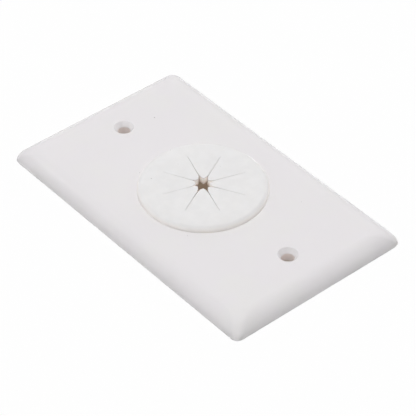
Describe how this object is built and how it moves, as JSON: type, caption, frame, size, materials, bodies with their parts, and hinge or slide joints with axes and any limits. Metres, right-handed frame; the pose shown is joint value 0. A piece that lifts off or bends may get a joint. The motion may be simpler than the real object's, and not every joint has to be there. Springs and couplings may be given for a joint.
{
  "type": "grommet wall plate",
  "caption": "Rectangular wall plate with a rounded edge, countersunk screw holes and a soft round grommet whose split disc lets low-voltage cables pass through the wall.",
  "frame": {"origin": "middle of the back rim's plane, where the plate meets the wall", "axes": "+Z out of the wall, +Y along the plate's long side, +X along its short side"},
  "size_m": [0.0698, 0.1142, 0.0079],
  "materials": {
    "plate_plastic": "smooth satin white moulded plastic",
    "grommet_rubber": "soft white rubber with a dull sheen"
  },
  "bodies": {
    "root": {"wall_plate": "plate_plastic", "grommet": "grommet_rubber"}
  },
  "joints": []
}
